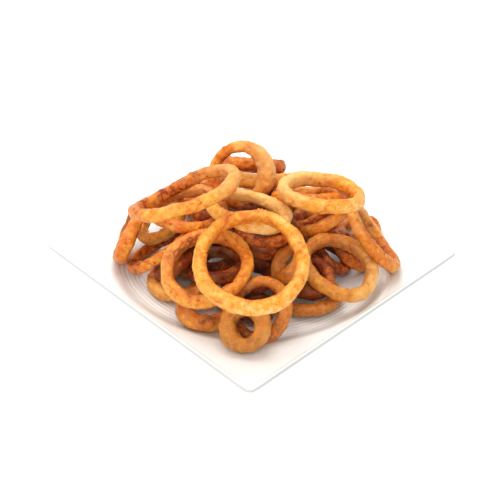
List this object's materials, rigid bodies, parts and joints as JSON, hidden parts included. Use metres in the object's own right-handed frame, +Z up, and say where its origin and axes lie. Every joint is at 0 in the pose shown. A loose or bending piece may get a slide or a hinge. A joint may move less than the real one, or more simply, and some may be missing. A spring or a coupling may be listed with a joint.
{
  "type": "plated onion rings",
  "caption": "A heap of battered, fried onion rings on a square white plate with a round well, served as a side.",
  "frame": {"origin": "on the table, below the middle of the plate", "axes": "+Z up; +X and +Y along the plate's sides; the plate's corner towards +X and -Y was nearest in the picture"},
  "size_m": [0.254, 0.254, 0.1119],
  "materials": {
    "porcelain": "smooth white glaze",
    "batter": "golden fried batter, satin with a little oil"
  },
  "bodies": {
    "root": {"plate": "porcelain", "ring_back_left": "batter", "ring_back_left_high": "batter", "ring_back_right": "batter", "ring_back_right_edge": "batter", "ring_base_back": "batter", "ring_base_front": "batter", "ring_base_inner_left": "batter", "ring_base_left": "batter", "ring_base_right": "batter", "ring_centre": "batter", "ring_centre_under": "batter", "ring_core_base": "batter", "ring_core_front": "batter", "ring_core_high": "batter", "ring_core_left": "batter", "ring_core_left_low": "batter", "ring_core_low": "batter", "ring_core_middle": "batter", "ring_front_base": "batter", "ring_front_behind": "batter", "ring_front_core": "batter", "ring_front_inner": "batter", "ring_front_large": "batter", "ring_front_left": "batter", "ring_front_right": "batter", "ring_front_small": "batter", "ring_left_base": "batter", "ring_left_edge": "batter", "ring_left_inner": "batter", "ring_left_lower": "batter", "ring_left_upper": "batter", "ring_left_upright": "batter", "ring_right_base": "batter", "ring_right_edge": "batter", "ring_right_inner": "batter", "ring_right_lean": "batter", "ring_right_low": "batter", "ring_right_tilted": "batter", "ring_right_under": "batter", "ring_right_upper": "batter", "ring_top_middle": "batter", "ring_top_rear": "batter", "ring_top_standing": "batter"}
  },
  "joints": []
}
